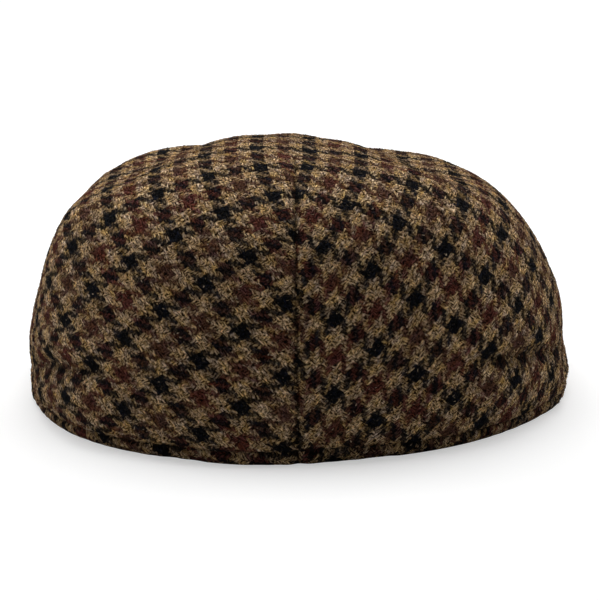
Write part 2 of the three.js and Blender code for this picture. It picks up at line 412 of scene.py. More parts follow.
def thread_strain(flat, solid, triangles, shares, shear_weight=0.2):
    """How far the threads are stretched or sheared, summed over the triangles, and how that changes
    with each flat point. Cloth hardly stretches along its threads, but it shears."""
    sides = triangle_sides(flat, triangles)
    area = sides[:, 0, 0] * sides[:, 1, 1] - sides[:, 0, 1] * sides[:, 1, 0]
    if area.min() <= 0:
        return math.inf, None
    inverse = np.stack([np.stack([sides[:, 1, 1], -sides[:, 0, 1]], axis=1),
                        np.stack([-sides[:, 1, 0], sides[:, 0, 0]], axis=1)], axis=1)
    inverse /= area[:, None, None]
    threads = solid @ inverse
    lengths = np.linalg.norm(threads, axis=1)
    shear = (threads[:, :, 0] * threads[:, :, 1]).sum(axis=1)
    strain = ((lengths - 1) ** 2).sum(axis=1) + shear_weight * shear ** 2
    pull = 2 * (1 - 1 / lengths)[:, None, :] * threads
    pull += 2 * shear_weight * shear[:, None, None] * threads[:, :, ::-1]
    pull *= shares[:, None, None]
    slope_sides = -np.swapaxes(threads, 1, 2) @ pull @ np.swapaxes(inverse, 1, 2)
    slope = np.zeros_like(flat)
    np.add.at(slope, triangles[:, 1], slope_sides[:, :, 0])
    np.add.at(slope, triangles[:, 2], slope_sides[:, :, 1])
    np.add.at(slope, triangles[:, 0], -slope_sides.sum(axis=2))
    return (shares * strain).sum(), slope


def relax(measure, flat, steps=300, memory=12, first_move=1e-3, enough=1e-4, shortest=1e-6, at_rest=1e-9):
    """Lowers a measure of flat points step by step, with a short memory of the last steps."""
    value, slope = measure(flat)
    past = []
    for _ in range(steps):
        step = slope.copy()
        taken = []
        for move, change, scale in reversed(past):
            amount = scale * (move * step).sum()
            taken.append(amount)
            step -= amount * change
        if past:
            step *= (past[-1][0] * past[-1][1]).sum() / (past[-1][1] ** 2).sum()
        else:
            step *= first_move / np.abs(step).max()
        for (move, change, scale), amount in zip(past, reversed(taken)):
            step += move * (amount - scale * (change * step).sum())
        length = 1.0
        new_value, new_slope = measure(flat - step)
        while not new_value < value - enough * length * (slope * step).sum() and length > shortest:
            length /= 2
            new_value, new_slope = measure(flat - length * step)
        if new_slope is None or value - new_value < at_rest:
            break
        move, change = -length * step, new_slope - slope
        if (move * change).sum() > 0:
            past = (past + [(move, change, 1 / (move * change).sum())])[-memory:]
        flat, value, slope = flat + move, new_value, new_slope
    return flat


def lay_in_one(piece, sizes):
    """Lays the crown's cloth flat as the one piece it was cut from, with the back seam open: the two
    halves, joined in front of the seam end and relaxed so that the threads keep their length."""
    mesh = piece.data
    points = points_of(piece)
    corners = corners_of(mesh)
    halves, side = lay_halves(piece, sizes)
    on_line = np.abs(points[corners, 0]) < SAME_PLACE

    # Each row in front of the seam end moves over, until the two halves meet on the middle line
    just_behind = -0.001
    joined = halves.copy()
    for half in (1, -1):
        own = side == half
        line = halves[own & on_line & (halves[:, 1] > just_behind)]
        line = line[np.argsort(line[:, 1])]
        joined[own, 0] -= np.interp(halves[own, 1], line[:, 1], line[:, 0], left=0.0)

    def level(flat):
        reach = np.minimum(np.abs(flat[:, 0]), sizes.row_bow_reach) - sizes.row_bow_middle
        beyond = np.maximum(np.abs(flat[:, 0]) - sizes.row_bow_reach, 0)
        end_slope = 2 * sizes.row_bow * (sizes.row_bow_reach - sizes.row_bow_middle)
        return flat - np.stack([0 * reach, sizes.row_bow * reach ** 2 + end_slope * beyond], axis=1)

    # A vertex of the open seam has a place on each half, and any other vertex has one place
    behind = on_line & (points[corners, 1] > sizes.seam_end + SAME_PLACE)
    keys = corners.astype(np.int64) * 3 + 1 + np.where(behind, side, 0).astype(np.int64)
    places, place_of = np.unique(keys, return_inverse=True)
    uses = np.bincount(place_of)[:, None]

    def gathered(values):
        total = np.zeros((len(places), 2))
        np.add.at(total, place_of, values)
        return total / uses

    start, goal, plain = gathered(level(joined)), gathered(level(halves)), gathered(halves)
    spots = points[places // 3]
    quads = place_of.reshape(-1, 4)
    triangles = np.concatenate([quads[:, [0, 1, 2]], quads[:, [0, 2, 3]]])
    solid = triangle_sides(spots, triangles)
    shares = np.linalg.norm(np.cross(solid[:, :, 0], solid[:, :, 1]), axis=1)
    shares /= shares.sum()
    hold = ramp(-plain[:, 1], *HOLD_BEHIND) * (1 - ramp(np.abs(plain[:, 0]), *HOLD_ASIDE))
    hold *= (spots[:, 1] > 0) * np.bincount(triangles.ravel(), np.repeat(shares / 3, 3)) * HOLD_STRENGTH
    hold = hold[:, None]

    def measure(flat):
        value, slope = thread_strain(flat, solid, triangles, shares)
        if slope is None:
            return value, slope
        return value + (hold * (flat - goal) ** 2).sum(), slope + 2 * hold * (flat - goal)

    flat = relax(measure, start)
    mesh.uv_layers[CLOTH_UV].uv.foreach_set("vector", flat[place_of].ravel())
    for edge in mesh.edges:
        edge.use_seam = False


# Shader nodes

def maths(tree, operation, first, second=None, third=None):
    """A Math node; each input is a socket or a number."""
    node = tree.nodes.new("ShaderNodeMath")
    node.operation = operation
    for socket, value in zip(node.inputs, (first, second, third)):
        if isinstance(value, (int, float)):
            socket.default_value = value
        elif value is not None:
            tree.links.new(value, socket)
    return node.outputs[0]


def graded(tree, value, low, high):
    """A value from low, where the given one is 0, to high, where it is 1."""
    return maths(tree, "MULTIPLY_ADD", value, high - low, low)


def vectors(tree, operation, first, second=None, third=None):
    """A Vector Math node; each input is a socket or three numbers."""
    node = tree.nodes.new("ShaderNodeVectorMath")
    node.operation = operation
    for socket, value in zip(node.inputs, (first, second, third)):
        if isinstance(value, tuple):
            socket.default_value = value
        elif value is not None:
            tree.links.new(value, socket)
    return node.outputs[0]


def scaled(tree, colour, amount):
    """A colour made lighter or darker by an amount, which is a socket."""
    result = vectors(tree, "SCALE", colour)
    tree.links.new(amount, result.node.inputs["Scale"])
    return result


def mixed(tree, share, first, second, blend="MIX"):
    """A colour mix; each input is a socket, a number or a colour."""
    node = tree.nodes.new("ShaderNodeMix")
    node.data_type = "RGBA"
    node.blend_type = blend
    for socket, value in ((node.inputs[0], share), (node.inputs[6], first), (node.inputs[7], second)):
        if isinstance(value, bpy.types.NodeSocket):
            tree.links.new(value, socket)
        else:
            socket.default_value = value
    return node.outputs[2]


def either(tree, share, first, second):
    """A mix of two values; each input is a socket."""
    node = tree.nodes.new("ShaderNodeMix")
    for socket, value in ((node.inputs[0], share), (node.inputs[2], first), (node.inputs[3], second)):
        tree.links.new(value, socket)
    return node.outputs[0]


def between(tree, value, low, high, start=0.0, end=1.0):
    """A soft step of a value, from start at low to end at high."""
    node = tree.nodes.new("ShaderNodeMapRange")
    node.interpolation_type = "SMOOTHSTEP"
    tree.links.new(value, node.inputs["Value"])
    for label, number in (("From Min", low), ("From Max", high), ("To Min", start), ("To Max", end)):
        node.inputs[label].default_value = number
    return node.outputs[0]


def noise(tree, place, scale, detail, distortion=0.0, output="Fac"):
    """A Noise Texture node on a place."""
    node = tree.nodes.new("ShaderNodeTexNoise")
    node.inputs["Scale"].default_value = scale
    node.inputs["Detail"].default_value = detail
    node.inputs["Distortion"].default_value = distortion
    tree.links.new(place, node.inputs["Vector"])
    return node.outputs[output]


def drawn_out(tree, threads, across, along, detail, distortion):
    """Noise that is drawn out over the threads, with its own scale across and along the warp."""
    place = vectors(tree, "MULTIPLY", threads, (across, along, 1.0))
    return noise(tree, place, 1.0, detail, distortion)


def attribute(tree, name):
    """The value of a piece's own attribute."""
    node = tree.nodes.new("ShaderNodeAttribute")
    node.attribute_name = name
    return node.outputs["Fac"]


def new_group(name, inputs, outputs):
    """An empty shader node group with named sockets; gives the tree, its input and output nodes."""
    tree = bpy.data.node_groups.new(name, "ShaderNodeTree")
    for label, kind in inputs:
        tree.interface.new_socket(label, in_out="INPUT", socket_type="NodeSocket" + kind)
    for label, kind in outputs:
        tree.interface.new_socket(label, in_out="OUTPUT", socket_type="NodeSocket" + kind)
    return tree, tree.nodes.new("NodeGroupInput"), tree.nodes.new("NodeGroupOutput")


# Tweed

def stripe_group():
    """Colour of one thread of the gun club order: dark, ground, russet, ground, a stripe of each."""
    tree, start, end = new_group(
        "Gun Club Order",
        [("Thread", "Float"), ("Dark", "Color"), ("Ground", "Color"), ("Russet", "Color")],
        [("Color", "Color"), ("Is Dark", "Float")])
    place = maths(tree, "FLOORED_MODULO", start.outputs["Thread"], REPEAT)
    is_dark = maths(tree, "LESS_THAN", place, STRIPE - 0.5)
    past_ground = maths(tree, "GREATER_THAN", place, 2 * STRIPE - 0.5)
    before_ground = maths(tree, "LESS_THAN", place, 3 * STRIPE - 0.5)
    is_russet = maths(tree, "MULTIPLY", past_ground, before_ground)
    colour = mixed(tree, is_dark, start.outputs["Ground"], start.outputs["Dark"])
    colour = mixed(tree, is_russet, colour, start.outputs["Russet"])
    tree.links.new(colour, end.inputs["Color"])
    tree.links.new(is_dark, end.inputs["Is Dark"])
    return tree


def wandering(tree, threads):
    """The thread numbers across and along, where the yarns wander, are uneven and have hairy edges."""
    # How often a yarn swings in a thread's width, and how many threads wide it swings
    swings = ((0.11, 1.8), (0.5, 1.0), (2.1, 0.6))
    moved = threads
    for scale, reach in swings:
        swing = noise(tree, threads, scale, 1.0, output="Color")
        centred = vectors(tree, "SUBTRACT", swing, (0.5, 0.5, 0.5))
        moved = vectors(tree, "MULTIPLY_ADD", centred, (reach, reach, 0.0), moved)
    split = tree.nodes.new("ShaderNodeSeparateXYZ")
    tree.links.new(moved, split.inputs[0])
    return split.outputs[0], split.outputs[1]


def yarn_colours(tree, start, threads, warp, weft):
    """The colours of the warp and the weft at a place, and whether one of the two is dark."""
    # The russet lots are redder in places
    lots = noise(tree, threads, 0.045, 0.0)
    redder = between(tree, lots, 0.40, 0.60)
    russet = mixed(tree, redder, start.outputs["Russet"], start.outputs["Red"])
    yarns = {"Dark": start.outputs["Dark"], "Ground": start.outputs["Ground"], "Russet": russet}
    order = stripe_group()
    colours = []
    darks = []
    for number in (warp, weft):
        stripe = tree.nodes.new("ShaderNodeGroup")
        stripe.node_tree = order
        tree.links.new(number, stripe.inputs["Thread"])
        for yarn, colour in yarns.items():
            tree.links.new(colour, stripe.inputs[yarn])
        colours.append(stripe.outputs["Color"])
        darks.append(stripe.outputs["Is Dark"])
    return *colours, maths(tree, "MAXIMUM", *darks)


def arched(tree, across, along, step, warp_up):
    """The cloth's height: the thread on top is a round yarn that arches over the others."""
    def rounded(value):
        centred = graded(tree, value, -1.0, 1.0)
        return maths(tree, "SUBTRACT", 1.0, maths(tree, "MULTIPLY", centred, centred))

    in_warp = maths(tree, "FRACT", across)
    in_weft = maths(tree, "FRACT", along)
    weft_step = maths(tree, "SUBTRACT", step, FLOAT)
    warp_float = maths(tree, "MULTIPLY", maths(tree, "ADD", step, in_weft), 1 / FLOAT)
    weft_float = maths(tree, "MULTIPLY", maths(tree, "ADD", weft_step, in_warp), 1 / FLOAT)
    warp_height = maths(tree, "MULTIPLY", rounded(in_warp), rounded(warp_float))
    weft_height = maths(tree, "MULTIPLY", rounded(in_weft), rounded(weft_float))
    return either(tree, warp_up, weft_height, warp_height)


def felted(tree, start, threads, warp_up, warp_colour, weft_colour, beside_dark):
    """The plain colour of yarns that felt into each other, where a dark one hides more of a light one."""
    top_share = 0.8
    dark_cover = 0.2
    dark_shade = 0.10
    yellowest = (1.175, 1.0, 0.2)
    to_bluest = (-0.35, 0.0, 1.6)
    strands = drawn_out(tree, threads, across=2.2, along=0.9, detail=1.0, distortion=0.5)
    lean = graded(tree, strands, -0.50, 0.70)
    warp_share = maths(tree, "MULTIPLY_ADD", warp_up, top_share, lean)
    warp_share.node.use_clamp = True
    plain = mixed(tree, warp_share, weft_colour, warp_colour)
    plain = mixed(tree, dark_cover, plain, mixed(tree, 1.0, weft_colour, warp_colour, "DARKEN"))
    plain = mixed(tree, maths(tree, "MULTIPLY", beside_dark, dark_shade), plain, start.outputs["Dark"])

    # Each yarn is spun from fibres of several dyes, from yellow to blue
    dyes = drawn_out(tree, threads, across=0.5, along=0.3, detail=2.0, distortion=0.5)
    tint = vectors(tree, "MULTIPLY_ADD", dyes, to_bluest, yellowest)
    return vectors(tree, "MULTIPLY", plain, tint)


def shaded(tree, plain, threads, warp_up, height, streaks):
    """A plain colour with painted light and shade: painted highlights and shade along the fibre streaks,
    partly the fibres' own lighter and darker colour; painted shade between the arched yarns and painted
    highlight on their crowns; the raised warp floats painted lighter than the weft; and random lighter and
    darker patches. The colour is painted warmer where this makes it dark.
    """
    # Painted warmth: where the painted shade is deep the colour turns redder, where it is light paler
    painted_shade_warmth = (0.86, 1.0, 1.12)
    # Painted highlights and shade along the fibre streaks, partly the fibres' own lighter and darker colour
    fibre_shade = between(tree, streaks, 0.40, 0.64, 0.0, 2.4)
    # Painted shade between the arched yarns, and painted highlight on their crowns
    arch_shade = graded(tree, height, 0.74, 1.19)
    patch_shade = graded(tree, noise(tree, threads, 0.25, 2.0), 0.6, 1.5)
    # The raised warp floats painted lighter than the sunk weft
    warp_shade = graded(tree, warp_up, 0.9, 1.15)
    shade = fibre_shade
    for other in (arch_shade, patch_shade, warp_shade):
        shade = maths(tree, "MULTIPLY", shade, other)
    tint = tree.nodes.new("ShaderNodeCombineXYZ")
    for socket, power in zip(tint.inputs, painted_shade_warmth):
        tree.links.new(maths(tree, "POWER", shade, power), socket)
    return vectors(tree, "MULTIPLY", plain, tint.outputs[0])


def pale_hairs(tree, threads):
    """A mask of thin hairs that lie across every yarn: the middle lines of a noise, kept in places."""
    masks = []
    # The scale of the hairs, and of the places that keep them
    for scale, kept_scale in ((0.42, 0.7), (0.67, 0.9)):
        lines = noise(tree, threads, scale, 1.0, 1.6)
        away = maths(tree, "ABSOLUTE", maths(tree, "SUBTRACT", lines, 0.5))
        thin = between(tree, away, 0.004, 0.022, 1.0, 0.0)
        kept = between(tree, noise(tree, threads, kept_scale, 1.0), 0.5, 0.6)
        masks.append(maths(tree, "MULTIPLY", thin, kept))
    return maths(tree, "MAXIMUM", *masks)


def weave_group():
    """Two and two twill on a cloth layout: the cloth's colour with painted light and shade, its plain
    colour and its height.
    """
    tree, start, end = new_group(
        WEAVE,
        [("Layout", "Vector"), ("Pitch", "Vector"), ("Zero", "Vector"), ("Dark", "Color"),
         ("Ground", "Color"), ("Russet", "Color"), ("Red", "Color"), ("Hair", "Color")],
        [("Color", "Color"), ("Plain Color", "Color"), ("Height", "Float")])
    from_zero = vectors(tree, "SUBTRACT", start.outputs["Layout"], start.outputs["Zero"])
    threads = vectors(tree, "DIVIDE", from_zero, start.outputs["Pitch"])
    threads = vectors(tree, "ADD", threads, (RUSSET_MIDDLE, RUSSET_MIDDLE, 0.0))
    across, along = wandering(tree, threads)
    warp = maths(tree, "FLOOR", across)
    weft = maths(tree, "FLOOR", along)
    step = maths(tree, "FLOORED_MODULO", maths(tree, "ADD", warp, weft), 2 * FLOAT)
    warp_up = maths(tree, "LESS_THAN", step, FLOAT - 0.5)
    height = arched(tree, across, along, step, warp_up)

    # Fibres run along the yarn that is on top
    weft_streaks = drawn_out(tree, threads, across=0.8, along=2.7, detail=1.0, distortion=0.25)
    warp_streaks = drawn_out(tree, threads, across=2.7, along=0.75, detail=1.0, distortion=0.25)
    streaks = either(tree, warp_up, weft_streaks, warp_streaks)

    colours = yarn_colours(tree, start, threads, warp, weft)
    plain = felted(tree, start, threads, warp_up, *colours)
    # The plain colour with painted light and shade on it
    painted_light_colour = shaded(tree, plain, threads, warp_up, height, streaks)
    hair_cover = 0.15
    hair_height = 0.4
    fibre_height = 0.6
    hairs = pale_hairs(tree, threads)
    haired = mixed(tree, maths(tree, "MULTIPLY", hairs, hair_cover), painted_light_colour, start.outputs["Hair"])
    height = maths(tree, "MULTIPLY_ADD", streaks, fibre_height, height)
    height = maths(tree, "MULTIPLY_ADD", hairs, hair_height, height)
    tree.links.new(haired, end.inputs["Color"])
    tree.links.new(plain, end.inputs["Plain Color"])
    tree.links.new(height, end.inputs["Height"])
    return tree


def woven(tree):
    """The weave group in a material, on the piece's cloth layout."""
    check = bpy.context.scene.cap_check
    layout = tree.nodes.new("ShaderNodeUVMap")
    layout.uv_map = CLOTH_UV
    cloth = tree.nodes.new("ShaderNodeGroup")
    cloth.node_tree = bpy.data.node_groups.get(WEAVE) or weave_group()
    tree.links.new(layout.outputs[0], cloth.inputs["Layout"])
    cloth.inputs["Pitch"].default_value = (check.warp_pitch, check.weft_pitch, 1.0)
    cloth.inputs["Zero"].default_value = (check.russet_across, check.russet_along, 0.0)
    for label, colour in (("Dark", check.dark), ("Ground", check.ground), ("Russet", check.russet),
                          ("Red", check.red), ("Hair", check.hair)):
        cloth.inputs[label].default_value = colour
    return cloth


def new_material(name, roughness):
    """A dull material; gives the material, its tree and its shader."""
    material = bpy.data.materials.new(name)
    material.use_nodes = True
    shader = material.node_tree.nodes["Principled BSDF"]
    shader.inputs["Roughness"].default_value = roughness
    shader.inputs["Specular IOR Level"].default_value = 0.05
    return material, material.node_tree, shader


def tweed_material():
    """Woollen tweed with painted shade down its seam, its hem's groove and its folds; made once, for the
    peak and the crown.
    """
    name = "gun club tweed"
    groove_light = 0.12
    if name in bpy.data.materials:
        return bpy.data.materials[name]
    material, tree, shader = new_material(name, 1.0)
    cloth = woven(tree)
    # Painted shade: the colour darkens where the groove shade attribute marks the seam, the hem's groove
    # and the folds
    light = graded(tree, attribute(tree, GROOVE_SHADE), 1.0, groove_light)
    tree.links.new(scaled(tree, cloth.outputs["Color"], light), shader.inputs["Base Color"])
    bump = tree.nodes.new("ShaderNodeBump")
    bump.inputs["Strength"].default_value = 0.8
    bump.inputs["Distance"].default_value = 0.0005
    tree.links.new(cloth.outputs["Height"], bump.inputs["Height"])
    tree.links.new(bump.outputs[0], shader.inputs["Normal"])
    return material


# Loose fibres

# A fibre's tone is a shade of its yarn up to the first value, and a pale hair from the second on. The
# random lightness of a yarn fibre is partly its own colour and partly painted sparkle highlight
YARN_TONES = 2.6
PALE_TONES = 2.8
DARKEST_TONE = 0.25
TONE_SPREAD = 0.6
PALE_SHARE = 0.03

# Triangles of a cloth and of its layout that are too small to grow a fibre, and how high fibres start
SLIVER = 1e-12
FLAT_SLIVER = 1e-14
FIBRE_CLEARANCE = 0.0012

# How fibres lie: shares of all fibres or of the longest and widest one, angles in radians, and heights
ALONG_WARP = 0.7
SPREAD = 0.4
LENGTHS = (0.4, 1.0)
HALF_WIDTHS = (0.35, 0.65)
BEND = 0.14
LYING_TILT = (0.02, 0.18)
STRAY_SHARE = 0.0008
STRAY_TILT = (0.2, 0.6)
STRAY_LENGTH = 1.4
ROOT_DEPTH = 0.0002
MIDDLE_LIFT = 0.65
MIDDLE_RISE = 0.00012
END_RISE = 0.00005


def fuzz_material():
    """Loose fibres, each in the colour of the yarn that it stands in."""
    material, tree, shader = new_material("fuzz", 0.8)
    tone = attribute(tree, TONE)
    yarn = scaled(tree, woven(tree).outputs["Plain Color"], tone)
    hair = tuple(bpy.context.scene.cap_check.hair)[:3]
    pale = scaled(tree, hair, maths(tree, "SUBTRACT", tone, YARN_TONES))
    is_pale = between(tree, tone, YARN_TONES + 0.05, PALE_TONES - 0.05)
    tree.links.new(mixed(tree, is_pale, yarn, pale), shader.inputs["Base Color"])
    return material


def repeated_mesh(name, points, faces):
    """One mesh of many like solids: the points of each one, joined by the same triangles."""
    count, each = points.shape[:2]
    corners = (np.arange(count)[:, None, None] * each + np.array(faces)[None]).ravel()
    mesh = bpy.data.meshes.new(name)
    mesh.vertices.add(count * each)
    mesh.vertices.foreach_set("co", points.ravel())
    mesh.loops.add(len(corners))
    mesh.loops.foreach_set("vertex_index", corners.astype(np.int32))
    mesh.polygons.add(len(corners) // 3)
    mesh.polygons.foreach_set("loop_start", np.arange(0, len(corners), 3, dtype=np.int32))
    mesh.update(calc_edges=True)
    piece = bpy.data.objects.new(name, mesh)
    bpy.context.scene.collection.objects.link(piece)
    return piece


def outside_triangles(piece, inside):
    """The triangles of a piece's outer face, which looks away from a place inside: their corners on
    the cloth and in its layout, their normals, their areas and the way of the warp."""
    mesh = piece.data
    mesh.calc_loop_triangles()
    loops = np.empty(len(mesh.loop_triangles) * 3, np.int32)
    mesh.loop_triangles.foreach_get("loops", loops)
    loops = loops.reshape(-1, 3)
    solid = points_of(piece)[corners_of(mesh)[loops]]
    flat = layout_of(mesh)[loops]
    normals = np.cross(solid[:, 1] - solid[:, 0], solid[:, 2] - solid[:, 0])
    areas = np.linalg.norm(normals, axis=1)
    sides = flat[:, 1:] - flat[:, :1]
    twist = sides[:, 0, 0] * sides[:, 1, 1] - sides[:, 0, 1] * sides[:, 1, 0]
    outer = (normals * (solid.mean(axis=1) - inside)).sum(axis=1) > 0
    clear = solid[:, :, 2].min(axis=1) > FIBRE_CLEARANCE
    good = outer & clear & (areas > SLIVER) & (np.abs(twist) > FLAT_SLIVER)
    solid, flat, sides, twist = solid[good], flat[good], sides[good], twist[good]
    normals, areas = normals[good] / areas[good, None], areas[good]
    legs = solid[:, 1:] - solid[:, :1]
    warp = (legs[:, 1] * sides[:, :1, 0] - legs[:, 0] * sides[:, 1:, 0]) / twist[:, None]
    warp /= np.linalg.norm(warp, axis=1, keepdims=True)
    return solid, flat, normals, areas, warp


def grow_fuzz(piece, name, count, seed, inside):
    """Stands loose fibres on a piece's cloth, most of them lying along its threads. Each fibre is four
    points: a root end, two sides of its middle, and a free end."""
    sizes = bpy.context.scene.cap_cloth
    random = np.random.default_rng(seed)
    solid, flat, normals, areas, warp = outside_triangles(piece, inside)
    chosen = random.choice(len(areas), count, p=areas / areas.sum())
    mix = random.dirichlet((1, 1, 1), count)
    roots = (solid[chosen] * mix[:, :, None]).sum(axis=1)
    layout = (flat[chosen] * mix[:, :, None]).sum(axis=1)
    normal = normals[chosen]
    warp = warp[chosen]
    weft = np.cross(warp, normal)
    turn = np.where(random.random(count) < ALONG_WARP, 0.0, math.pi / 2) + random.normal(0, SPREAD, count)
    turn += math.pi * (random.random(count) < 0.5)
    along = warp * np.cos(turn)[:, None] + weft * np.sin(turn)[:, None]
    aside = np.cross(normal, along)
    length = sizes.fibre_length * random.uniform(*LENGTHS, count)
    stray = random.random(count) < STRAY_SHARE
    length = np.where(stray, length * STRAY_LENGTH, length)
    tilt = np.where(stray, random.uniform(*STRAY_TILT, count), random.uniform(*LYING_TILT, count))
    bend = random.normal(0, BEND, count) * length
    lift = (np.sin(tilt) * length)[:, None]
    reach = (np.cos(tilt) * length)[:, None]
    tips = roots - along * reach / 2 - normal * ROOT_DEPTH
    middles = roots + normal * (lift * MIDDLE_LIFT + MIDDLE_RISE) + aside * bend[:, None]
    ends = roots + along * reach / 2 + normal * (lift + END_RISE)
    half = aside * (sizes.fibre_width * random.uniform(*HALF_WIDTHS, count))[:, None]
    points = np.stack([tips, middles + half, middles - half, ends], axis=1)
    faces = ((0, 2, 1), (3, 1, 2), (0, 1, 3), (0, 3, 2))
    fuzz = repeated_mesh(name, points, faces)
    layer = fuzz.data.uv_layers.new(name=CLOTH_UV)
    layer.uv.foreach_set("vector", np.repeat(layout, np.size(faces), axis=0).ravel())
    # Each fibre's random lightness: partly the fibres' own lighter and darker colour, partly painted
    # sparkle highlight
    tone = np.clip(random.lognormal(0.0, TONE_SPREAD, count), DARKEST_TONE, YARN_TONES)
    tone = np.where(random.random(count) < PALE_SHARE, PALE_TONES + random.random(count), tone)
    mark(fuzz, TONE, np.repeat(tone, points.shape[1]))
    return fuzz


# Operators

class CAP_OT_stage(bpy.types.Operator):
    """Sets the floor, the soft lights and the camera behind the cap."""

    bl_idname = "cap.stage"
    bl_label = "Set the Stage"

    # The floor lies just under the cap; to the camera it is a little darker, and glows
    floor_size = 6.0
    floor_height = -0.0002
    floor_grey = 0.70
    floor_grey_seen = 0.60
    floor_glow_seen = 0.48
    # The backdrop is white to the camera, and gives little light
    backdrop_light = 0.08
    # Each softbox: its name, its place, what it points at, its size and its power in watts
    lights = (
        ("overhead softbox", (0, -0.35, 1.2), (0, -0.1, 0), 1.3, 18.0),
        ("left softbox", (1.1, -0.45, 0.55), (0, 0, 0.05), 0.8, 6.2),
        ("right softbox", (-1.1, -0.60, 0.55), (0, 0, 0.05), 0.8, 4.8),
    )
    # What the camera's distance is measured from, and what it points at
    cap_middle = (0, 0.020, 0.045)
    picture_middle = (-0.00137, 0.020, 0.0322)
    sensor_width = 36.0
    view_end = 20.0

    def execute(self, context):
        context.scene.view_settings.view_transform = "Standard"
        self.lay_floor(context)
        self.hang_backdrop(context.scene)
        self.place_lights(context)
        self.place_camera(context)
        return {"FINISHED"}

    def lay_floor(self, context):
        """Lays the pale floor."""
        bpy.ops.object.select_all(action="DESELECT")
        bpy.ops.mesh.primitive_plane_add(size=self.floor_size, location=(0, 0, self.floor_height))
        floor = context.object
        floor.name = "floor"
        paint = bpy.data.materials.new("pale floor")
        paint.use_nodes = True
        tree = paint.node_tree
        shader = tree.nodes["Principled BSDF"]
        seen = tree.nodes.new("ShaderNodeLightPath").outputs["Is Camera Ray"]
        greys = [(grey, grey, grey, 1) for grey in (self.floor_grey, self.floor_grey_seen)]
        tree.links.new(mixed(tree, seen, *greys), shader.inputs["Base Color"])
        shader.inputs["Roughness"].default_value = 0.9
        shader.inputs["Emission Color"].default_value = (1, 1, 1, 1)
        glow = maths(tree, "MULTIPLY", seen, self.floor_glow_seen)
        tree.links.new(glow, shader.inputs["Emission Strength"])
        floor.data.materials.append(paint)

    def hang_backdrop(self, scene):
        """Makes all that lies beyond the floor white."""
        world = bpy.data.worlds.new("studio")
        world.use_nodes = True
        tree = world.node_tree
        background = tree.nodes["Background"]
        background.inputs["Color"].default_value = (1, 1, 1, 1)
        seen = tree.nodes.new("ShaderNodeLightPath").outputs["Is Camera Ray"]
        strength = graded(tree, seen, self.backdrop_light, 1.0)
        tree.links.new(strength, background.inputs["Strength"])
        scene.world = world

    def place_lights(self, context):
        """Hangs each softbox in its place and turns it to what it points at."""
        for name, place, target, size, power in self.lights:
            bpy.ops.object.light_add(type="AREA", location=place)
            light = context.object
            light.name = name
            light.data.size = size
            light.data.energy = power
            light.rotation_euler = (Vector(target) - Vector(place)).to_track_quat("-Z", "Y").to_euler()

    def place_camera(self, context):
        """Stands the camera behind the cap, with its roll."""
        settings = context.scene.cap_stage
        toward = Vector((0, math.cos(settings.elevation), math.sin(settings.elevation)))
        place = Vector(self.cap_middle) + toward * settings.distance
        bpy.ops.object.camera_add(location=place)
        camera = context.object
        camera.name = "camera"
        aim = (Vector(self.picture_middle) - place).to_track_quat("-Z", "Y").to_matrix()
        camera.rotation_euler = (aim @ Matrix.Rotation(-settings.roll, 3, "Z")).to_euler()
        camera.data.lens = settings.lens
        camera.data.sensor_width = self.sensor_width
        camera.data.clip_end = self.view_end
        context.scene.camera = camera


class CAP_OT_peak(bpy.types.Operator):
    """Makes the peak: the frame's peak rounded over and covered in the same cloth."""

    bl_idname = "cap.peak"
    bl_label = "Cover the Peak"

    def execute(self, context):
        peak = copy_of_node("peak", "tweed_peak")
        bpy.ops.object.mode_set(mode="EDIT")
        bpy.ops.mesh.select_all(action="SELECT")
        bpy.ops.mesh.tris_convert_to_quads(
            face_threshold=math.pi, shape_threshold=math.pi, topology_influence=1.0)
        bpy.ops.object.mode_set(mode="OBJECT")
        apply_modifier(peak, "SUBSURF", levels=2, render_levels=2)
        layer = peak.data.uv_layers.new(name=CLOTH_UV)
        flat = points_of(peak)[corners_of(peak.data)][:, :2] * (1, -1)
        layer.uv.foreach_set("vector", flat.ravel())
        shade_smooth(peak)
        finish_piece(peak, tweed_material(), "peak")
        return {"FINISHED"}


